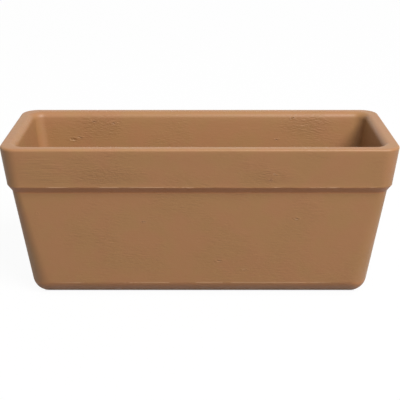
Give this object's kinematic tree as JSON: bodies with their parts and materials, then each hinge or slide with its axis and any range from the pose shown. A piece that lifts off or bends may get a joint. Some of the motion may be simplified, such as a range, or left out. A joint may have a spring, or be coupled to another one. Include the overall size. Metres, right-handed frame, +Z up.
{
  "type": "window box planter",
  "caption": "Tapered rectangular window box with a thick rounded rim, a flared band, a lift-out reservoir shelf and pull-out rubber drain plugs.",
  "frame": {"origin": "on the ground under the middle of the box", "axes": "+X along the box's length, -Y towards its front, +Z up"},
  "size_m": [0.508, 0.203, 0.2128],
  "materials": {
    "moulded_resin": "matte moulded resin with a fine slate-like grain, caramel brown",
    "shelf_plastic": "matte black polypropylene",
    "plug_rubber": "matt black rubber"
  },
  "bodies": {
    "box": {"planter_box": "moulded_resin"},
    "shelf": {"reservoir_shelf": "shelf_plastic"},
    "plug_left": {"drain_plug_left": "plug_rubber"},
    "plug_right": {"drain_plug_right": "plug_rubber"}
  },
  "joints": [
    {"name": "shelf_lift", "type": "slide", "parent": "box", "child": "shelf", "axis": [0, 0, 1], "range_m": [0, 0.23]},
    {"name": "left_plug_pull", "type": "slide", "parent": "box", "child": "plug_left", "axis": [0, 0, -1], "range_m": [0, 0.03]},
    {"name": "right_plug_pull", "type": "slide", "parent": "box", "child": "plug_right", "axis": [0, 0, -1], "range_m": [0, 0.03]}
  ]
}
